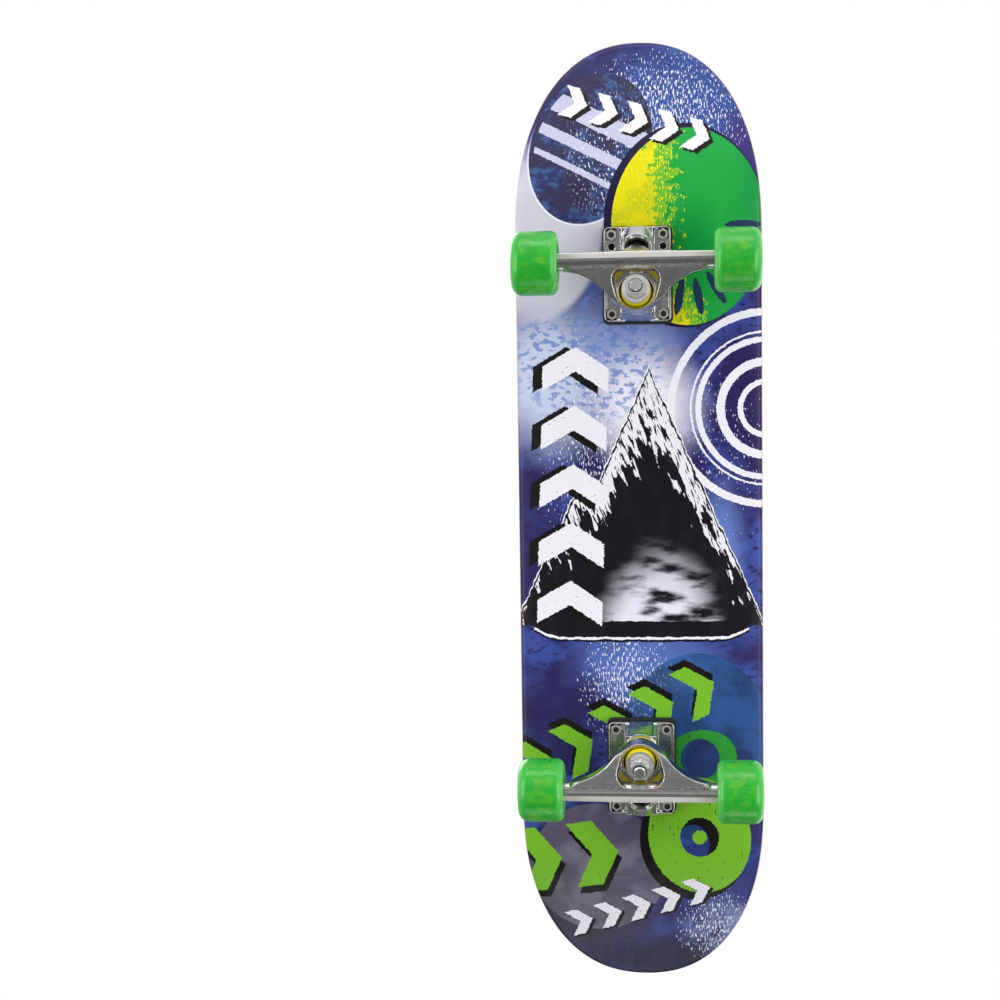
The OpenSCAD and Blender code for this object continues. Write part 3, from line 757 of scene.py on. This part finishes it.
# %% [markdown]
# ## Cast trucks
# The hangers and base plates are die-cast aluminium. Their edges come out of
# the mould rounded by half a millimetre, and the rims are then ground and
# polished bright, while the recessed floors keep the grain of the casting.
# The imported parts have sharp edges, so each is copied, rebuilt from small
# voxels and smoothed. That rounds every edge and leaves the size alone.

# %% Rounded copies of the castings
def cast_copy(node, body, voxel, passes):
    data = frame["nodes"][node].data.copy()
    piece = bpy.data.objects.new(node + "_cast", data)
    bpy.context.scene.collection.objects.link(piece)
    remesh = piece.modifiers.new("voxels", "REMESH")
    remesh.mode = "VOXEL"
    remesh.voxel_size = voxel
    remesh.use_smooth_shade = True
    smooth = piece.modifiers.new("smooth", "SMOOTH")
    smooth.factor = 0.5
    smooth.iterations = passes
    apply_modifiers(piece)
    piece.data.materials.clear()
    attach(piece, body)
    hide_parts(node)
    return piece


cast_voxel = 0.62 * MM
hangers = {end: cast_copy(f"hanger_{end}", f"hanger_{end}", cast_voxel, 3) for end in ENDS}
plates = {end: cast_copy(f"baseplate_{end}", "deck", cast_voxel, 3) for end in ENDS}
print("hanger faces:", len(hangers["front"].data.polygons))
print("plate faces:", len(plates["front"].data.polygons))

# %% [markdown]
# ## Three finishes of one casting
# Polished aluminium is a metal with low roughness and fine random scratches.
# The as-cast floor is the same metal with a grain of about 1 mm, rougher. The
# strip along the axle is ground flat on a belt, so it scatters the light and
# looks almost white. Which faces are which is found from the mesh itself: those
# that lie in the plane of the recess or of the strip. Each tone is also darkened
# where little open air is left round it, a painted shade in the corners.

# %% Polished, as-cast and belt-ground aluminium
def with_painted_corner_shade(tree, tone, reach=2.5 * MM):
    """Darkens a metal in its corners, where little open air is left round it: painted shade."""
    open_air = add(tree, "AmbientOcclusion", named={"Distance": reach}, out="AO", samples=8)
    # painted shade: the tone goes to a dark grey-brown where the corners close in
    painted_corner_shade = add(tree, "MapRange", open_air, 0.25, 0.80, 0.85, 0.0)
    return add(tree, "Mix", painted_corner_shade, named={6: tone, 7: linear("#35332f")}, **COLOURS)


polished, tree, shader, place = new_material("die_cast_aluminium_polished")
scratch_place = add(tree, "Mapping", place, named={"Scale": (0.5, 3.0, 3.0)})
scratches = add(tree, "TexNoise", named={"Vector": scratch_place, "Scale": 1.2, "Detail": 5.0})
stains = add(tree, "TexNoise", named={"Vector": place, "Scale": 0.12, "Detail": 4.0})
tone = add(tree, "Mix", stains, named={6: linear("#dcdcdd"), 7: linear("#b5b3b1")}, **COLOURS)
# painted shade in the corners of the polished metal
tone = with_painted_corner_shade(tree, tone)
gloss = add(tree, "MapRange", scratches, 0.3, 0.7, 0.10, 0.24)
waves = add(tree, "TexNoise", named={"Vector": place, "Scale": 0.16, "Detail": 2.0})
wavy = add(tree, "Bump", named={"Height": waves, "Strength": 0.4, "Distance": 0.6 * MM})
bump = add(
    tree, "Bump",
    named={"Height": scratches, "Strength": 0.10, "Distance": 0.2 * MM, "Normal": wavy},
)
fill(tree, shader, {"Base Color": tone, "Metallic": 1.0, "Roughness": gloss, "Normal": bump})

as_cast, tree, shader, place = new_material("die_cast_aluminium_as_cast")
grains = add(tree, "TexNoise", named={"Vector": place, "Scale": 0.9, "Detail": 4.0})
pits = add(tree, "TexVoronoi", named={"Vector": place, "Scale": 0.55})
tone = add(tree, "Mix", grains, named={6: linear("#9d9996"), 7: linear("#e2deda")}, **COLOURS)
# painted shade in the corners of the as-cast metal
tone = with_painted_corner_shade(tree, tone)
gloss = add(tree, "MapRange", grains, 0.3, 0.7, 0.20, 0.38)
height = add(tree, "Math", pits, grains, operation="ADD")
bump = add(tree, "Bump", named={"Height": height, "Strength": 0.45, "Distance": 0.4 * MM})
fill(tree, shader, {"Base Color": tone, "Metallic": 1.0, "Roughness": gloss, "Normal": bump})

ground_flat, tree, shader, place = new_material("die_cast_aluminium_belt_ground")
belt_place = add(tree, "Mapping", place, named={"Scale": (0.9, 0.06, 0.9)})
belt_marks = add(tree, "TexNoise", named={"Vector": belt_place, "Scale": 2.0, "Detail": 5.0})
whites = {6: linear("#fbf9f5"), 7: linear("#dedbd5")}
tone = add(tree, "Mix", belt_marks, named=whites, **COLOURS)
gloss = add(tree, "MapRange", belt_marks, 0.3, 0.7, 0.48, 0.66)
bump = add(tree, "Bump", named={"Height": belt_marks, "Strength": 0.2, "Distance": 0.3 * MM})
fill(tree, shader, {"Base Color": tone, "Metallic": 1.0, "Roughness": gloss, "Normal": bump})

AS_CAST, GROUND = 1, 2  # places in the list of finishes below


def finish_faces(piece, finish_index, middle, out, reach, beyond=0.0):
    """Gives a finish to the faces that lie in one plane and face out."""
    count = 0
    for face in piece.data.polygons:
        off = (face.center - middle).dot(out)
        if face.normal.dot(out) > 0.8 and abs(off) < reach and abs(face.center.x) > beyond:
            face.material_index = finish_index
            count += 1
    print(piece.name, "faces in finish", finish_index, "are", count)


recess_slope = math.radians(8.3)
axle_x, recess_z, strip_z = 208.3, 19, 17.5
strip_start = (axle_x + 2.9) * MM
for end, sign in zip(ENDS, (1, -1)):
    for piece in (hangers[end], plates[end]):
        for finish in (polished, as_cast, ground_flat):
            piece.data.materials.append(finish)
    out = Vector((sign * math.sin(recess_slope), 0, -math.cos(recess_slope)))
    recess = Vector((sign * axle_x, 0, recess_z)) * MM
    strip = Vector((0, 0, strip_z)) * MM
    finish_faces(hangers[end], AS_CAST, recess, out, 0.45 * MM)
    finish_faces(hangers[end], GROUND, strip, Vector((0, 0, -1)), 0.3 * MM, strip_start)

# %% [markdown]
# ## Steel hardware
# The nuts, washers and axles are zinc-plated steel, a bright metal with a
# slight tint that drifts from place to place. Nuts and washers are tumbled
# after plating, which makes them whiter and less sharp in their reflections.
# The balls are polished almost to a mirror, and the races are ground. The
# mounting screws are blackened, so they are dark and satin.

# %% Plated, blackened and ground steel
def plated(name, light, dark, rough_low, rough_high, grain=2.5, bump_strength=0.05):
    material, tree, shader, place = new_material(name)
    drift = add(tree, "TexNoise", named={"Vector": place, "Scale": 1 / grain, "Detail": 5.0})
    tone = add(tree, "Mix", drift, named={6: linear(light), 7: linear(dark)}, **COLOURS)
    # painted shade in the corners of the plated metal
    tone = with_painted_corner_shade(tree, tone)
    gloss = add(tree, "MapRange", drift, 0.35, 0.65, rough_low, rough_high)
    relief = {"Height": drift, "Strength": bump_strength, "Distance": 0.2 * MM}
    bump = add(tree, "Bump", named=relief)
    fill(tree, shader, {
        "Base Color": tone,
        "Metallic": 1.0,
        "Roughness": gloss,
        "Normal": bump,
    })
    return material


zinc = plated("steel_zinc_plated", "#f0f1f1", "#cfd0ca", 0.20, 0.34)
bright_zinc = plated("steel_bright_zinc_tumbled", "#fbfbfa", "#e2e2de", 0.30, 0.46)
chrome = plated("steel_chrome_plated", "#e6e8ea", "#d4d6d9", 0.05, 0.10)
blackened = plated("steel_black_oxide", "#57574c", "#3a3a34", 0.32, 0.48)
ground = plated("steel_ground_races", "#d7d9db", "#bfc2c5", 0.10, 0.20, grain=0.6)
brass = plated("brass_pressed_cage", "#d0ab52", "#a8812f", 0.22, 0.35)
shield_steel = plated("steel_pressed_shield_blackened", "#5a5d61", "#3b3d41", 0.30, 0.42)

FINISHED = (
    # finish, kinds of part, where they are
    (zinc, ("kingpin", "axle_nuts", "axle", "speed_washers", "bearing_spacers"), ENDS),
    (bright_zinc, ("kingpin_nut", "mounting_nuts", "top_washer", "bottom_washer"), ENDS),
    (blackened, ("mounting_screws",), ENDS),
    (ground, ("bearing_inner_races",), ENDS),
    (ground, ("bearing_outer_races",), WHEELS),
    (chrome, ("bearing_balls",), WHEELS),
    (brass, ("bearing_cages",), WHEELS),
    (shield_steel, ("bearing_shields",), WHEELS),
)
for finish, kinds, places in FINISHED:
    finish_nodes([f"{kind}_{place}" for kind in kinds for place in places], finish)

# %% [markdown]
# ## Rubber and plastic
# The riser pad is moulded black rubber, matt with a fine pebble. The pivot
# cup is a black plastic, a little shinier.

# %% Riser pads and pivot cups
def moulded(name, light, dark, rough_low, rough_high, grain, bump_strength):
    material, tree, shader, place = new_material(name)
    pebble = add(tree, "TexNoise", named={"Vector": place, "Scale": 1 / grain, "Detail": 3.0})
    tone = add(tree, "Mix", pebble, named={6: linear(light), 7: linear(dark)}, **COLOURS)
    gloss = add(tree, "MapRange", pebble, 0.3, 0.7, rough_low, rough_high)
    relief = {"Height": pebble, "Strength": bump_strength, "Distance": 0.2 * MM}
    bump = add(tree, "Bump", named=relief)
    fill(tree, shader, {"Base Color": tone, "Roughness": gloss, "Normal": bump})
    return material


rubber = moulded("rubber_moulded_pebbled", "#1f1f20", "#0f0f10", 0.60, 0.80, 0.5, 0.3)
cup_plastic = moulded("nylon_moulded_black", "#1a1a1b", "#0d0d0e", 0.35, 0.50, 1.0, 0.1)
finish_nodes([f"riser_pad_{e}" for e in ENDS], rubber)
finish_nodes([f"pivot_cup_{e}" for e in ENDS], cup_plastic)

# %% [markdown]
# ## Bushings
# The bushings are the springs of a truck: two rings of cast urethane squeezed
# between the washers and the hanger. When the board leans, one side bulges
# and the other is pinched. They are turned here from a half section that
# already bulges a little.

# %% Bushings, turned
kingpin_lean = math.radians(12)
ring_x, ring_z = 184, 34.4


def kingpin_frame(sign):
    """The kingpin's own frame: middle of the hanger's ring, +Z to the nut."""
    axis = Vector((sign * math.sin(kingpin_lean), 0, -math.cos(kingpin_lean)))
    side = Vector((0, 1, 0))
    axes = Matrix((side.cross(axis), side, axis)).transposed()
    ring_middle = Vector((sign * ring_x, 0, ring_z)) * MM
    return Matrix.Translation(ring_middle) @ axes.to_4x4()


def turned(name, section, place, sides=72):
    """A closed ring: a section of (radius, height) in mm, turned round +Z."""
    mesh = bmesh.new()
    loops = []
    for k in range(sides):
        angle = 2 * math.pi * k / sides
        loop = []
        for r, h in section:
            point = Vector((r * math.cos(angle), r * math.sin(angle), h)) * MM
            loop.append(mesh.verts.new(place @ point))
        loops.append(loop)
    for loop, following in zip(loops, loops[1:] + loops[:1]):
        for i in range(len(section)):
            j = (i + 1) % len(section)
            mesh.faces.new((loop[i], loop[j], following[j], following[i]))
    bmesh.ops.recalc_face_normals(mesh, faces=mesh.faces)
    for face in mesh.faces:
        face.smooth = True
    data = bpy.data.meshes.new(name)
    mesh.to_mesh(data)
    mesh.free()
    piece = bpy.data.objects.new(name, data)
    bpy.context.scene.collection.objects.link(piece)
    return piece


urethane, tree, shader, place = new_material("urethane_cast_yellow_bushing")
swirl = add(tree, "TexNoise", named={"Vector": place, "Scale": 0.15, "Detail": 3.0})
tone = add(tree, "Mix", swirl, named={6: linear("#f4e414"), 7: linear("#e3c90e")}, **COLOURS)
gloss = add(tree, "MapRange", swirl, 0.3, 0.7, 0.26, 0.40)
fill(tree, shader, {
    "Base Color": tone,
    "Roughness": gloss,
    "Subsurface Weight": 0.5,
    "Subsurface Radius": (0.004, 0.003, 0.0008),
    "Subsurface Scale": 1.0,
    "IOR": 1.5,
})

BARREL = [(4.9, -15.45), (11.4, -15.45), (12.0, -15.0), (12.3, -14.0), (12.45, -9.3),
          (12.3, -4.6), (12.0, -3.5), (11.4, -3.05), (4.9, -3.05)]
CONE = [(4.9, 3.05), (11.8, 3.05), (12.3, 3.4), (12.4, 4.2), (12.2, 5.6), (11.2, 9.6),
        (10.2, 13.0), (9.7, 13.7), (9.2, 13.95), (4.9, 13.95)]
for end, sign in zip(ENDS, (1, -1)):
    place = kingpin_frame(sign)
    for kind, section in (("board_bushing", BARREL), ("road_bushing", CONE)):
        piece = turned(f"{kind}_{end}_urethane", section, place)
        piece.data.materials.append(urethane)
        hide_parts(f"{kind}_{end}")
        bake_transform(piece)
print("bushings: 4")

# %% [markdown]
# ## Wheels
# The wheels are cast urethane, clear green, and the light goes some way in
# before it comes out. Full glass would need many bounces and would still look
# too hard. Light that scatters under the surface, with a little that passes
# straight through, gives the soft glow, and the paler rims are a painted glow
# in the colour. The cast surface is smooth but waxy, and has faint clouds and
# a few tiny bubbles.

# %% Urethane wheels
wheel_urethane, tree, shader, place = new_material("urethane_cast_clear_green")
clouds = add(tree, "TexNoise", named={"Vector": place, "Scale": 0.09, "Detail": 4.0})
bubbles = add(tree, "TexVoronoi", named={"Vector": place, "Scale": 0.35})
bubble = add(tree, "Math", bubbles, 0.10, operation="LESS_THAN")
tone = add(tree, "Mix", clouds, named={6: linear("#3fd13a"), 7: linear("#12b03c")}, **COLOURS)
tone = add(tree, "Mix", bubble, named={6: tone, 7: linear("#8fe27c")}, **COLOURS)

# The flanks are painted a paler green, a painted glow that stands for the light
# leaving them easily. Yellowish patches in the middle of the tread hint at the
# bearing seats that show through
wheel_low, wheel_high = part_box("wheel_front_left")
wheel_middle = (wheel_low.y + wheel_high.y) / 2 / MM
wheel_half = (wheel_high.y - wheel_low.y) / 2 / MM
out_y = add(tree, "Math", add(tree, "SeparateXYZ", place, out=1), operation="ABSOLUTE")
from_wheel_middle = add(tree, "Math", out_y, wheel_middle, operation="SUBTRACT")
from_wheel_middle = add(tree, "Math", from_wheel_middle, operation="ABSOLUTE")
# where the flanks get their painted glow, rising towards each side of the wheel
flank = add(tree, "MapRange", from_wheel_middle, wheel_half - 6.0, wheel_half, 0.0, 0.6)
seat_place = add(tree, "Mapping", place, named={"Scale": (0.22, 0.13, 0.22)})
blocks = {"Vector": seat_place, "Scale": 1.0}
seat = add(tree, "TexVoronoi", named=blocks, out="Color", distance="CHEBYCHEV")
seat = add(tree, "MapRange", add(tree, "SeparateColor", seat), 0.45, 0.9, 0.0, 0.55)
near_bore = add(tree, "MapRange", from_wheel_middle, 8.0, 12.0, 1.0, 0.0)
seat = add(tree, "Math", seat, near_bore, operation="MULTIPLY")
tone = add(tree, "Mix", seat, named={6: tone, 7: linear("#7fd036")}, **COLOURS)
# painted glow: the flanks are painted a paler green
tone = add(tree, "Mix", flank, named={6: tone, 7: linear("#8ee786")}, **COLOURS)
gloss = add(tree, "MapRange", clouds, 0.3, 0.7, 0.16, 0.30)
fill(tree, shader, {
    "Base Color": tone,
    "Roughness": gloss,
    "Subsurface Weight": 0.75,
    "Subsurface Radius": (0.004, 0.014, 0.004),
    "Subsurface Scale": 1.0,
    "Transmission Weight": 0.25,
    "IOR": 1.5,
})
finish_nodes([f"wheel_{w}" for w in WHEELS], wheel_urethane)

# %% [markdown]
# ## Floor, sky and lights
# The board stands on a pale floor. The camera is under that floor, so the
# floor's material is clear on its lower face, and it neither blocks the light
# nor shows in reflections. The world is white to the camera. To everything
# else it is a studio: bright round the horizon, dim straight below and dimmer
# towards the tail, which gives polished metal its dark and bright bands.

# %% Floor and world
floor_material, tree, shader, place = new_material("floor_pale_paper")
fibre = add(tree, "TexNoise", named={"Vector": place, "Scale": 0.05, "Detail": 4.0})
tone = add(tree, "Mix", fibre, named={6: linear("#f4f4f2"), 7: linear("#efefed")}, **COLOURS)
fill(tree, shader, {"Base Color": tone, "Roughness": 0.9})
below = add(tree, "NewGeometry", out="Backfacing")
clear = add(tree, "BsdfTransparent")
shown = add(tree, "MixShader", below, shader.outputs[0], clear)
tree.links.new(shown, tree.nodes["Material Output"].inputs["Surface"])

floor_data = bpy.data.meshes.new("floor")
reach = 60.0
floor_corners = [(x * reach, y * reach, 0) for x, y in ((-1, -1), (1, -1), (1, 1), (-1, 1))]
floor_data.from_pydata(floor_corners, [], [(0, 1, 2, 3)])
floor_data.materials.append(floor_material)
floor = bpy.data.objects.new("floor", floor_data)
bpy.context.scene.collection.objects.link(floor)
floor.visible_shadow = False
floor.visible_glossy = False
floor.visible_diffuse = False
floor.visible_transmission = False

world = bpy.data.worlds.new("studio")
world.use_nodes = True
bpy.context.scene.world = world
sky = world.node_tree
background = sky.nodes["Background"]
direction = add(sky, "TexCoord", out="Generated")
to_nose, _, up = add(sky, "SeparateXYZ", direction).node.outputs
dim_below = add(sky, "MapRange", up, -0.96, -0.45, 0.27, 0.66, interpolation_type="SMOOTHSTEP")
dim_to_tail = add(sky, "MapRange", to_nose, -0.6, 0.4, 0.32, 1.40)
strength = add(sky, "Math", dim_below, dim_to_tail, operation="MULTIPLY")
fill(sky, background, {"Color": (1, 1, 1, 1), "Strength": strength})
white = sky.nodes.new("ShaderNodeBackground")
fill(sky, white, {"Color": (1, 1, 1, 1), "Strength": 1.0})
seen_by_camera = add(sky, "LightPath", out="Is Camera Ray")
mixed = add(sky, "MixShader", seen_by_camera, background.outputs[0], white.outputs[0])
sky.links.new(mixed, sky.nodes["World Output"].inputs["Surface"])

# %% [markdown]
# ## Softboxes
# Four large area lights stand round the camera, below the board, and two wide
# suns stand over it for the views from above, since a sun lights a floor evenly
# and a lamp leaves a pool. Large lights give soft shadows, and their
# reflections draw the bright edges on the castings. They don't show to the
# camera themselves.

# %% Area lights
def softbox(name, place, size, power, aim=(0, 0, 0.08)):
    light = bpy.data.lights.new(name, "AREA")
    light.shape = "RECTANGLE"
    light.size, light.size_y = size
    light.energy = power
    lamp = bpy.data.objects.new(name, light)
    lamp.location = place
    lamp.rotation_euler = (Vector(aim) - Vector(place)).to_track_quat("-Z", "Y").to_euler()
    lamp.visible_camera = False
    bpy.context.scene.collection.objects.link(lamp)


softbox("below_right", (-0.1, 1.35, -1.0), (1.8, 1.0), 17)
softbox("below_left", (0.2, -1.35, -0.9), (1.8, 1.0), 15)
softbox("below_nose", (1.6, 0.0, -0.40), (1.4, 0.5), 5)
softbox("below_tail", (-1.6, 0.1, -0.40), (1.4, 0.5), 3)


def wide_sun(name, direction, strength, spread):
    """A sun as wide as a cloudy sky: even light over the floor, soft shadows."""
    light = bpy.data.lights.new(name, "SUN")
    light.energy = strength
    light.angle = math.radians(spread)
    lamp = bpy.data.objects.new(name, light)
    lamp.rotation_euler = Vector(direction).to_track_quat("Z", "Y").to_euler()
    bpy.context.scene.collection.objects.link(lamp)


wide_sun("above_left", (0.6, -0.9, 1.5), 0.9, 35)
wide_sun("above_right", (-0.8, 1.1, 1.6), 0.45, 50)

# %% [markdown]
# ## View transform
# The standard view keeps the print's colours as they were mixed.

# %% View transform
bpy.context.scene.view_settings.view_transform = "Standard"
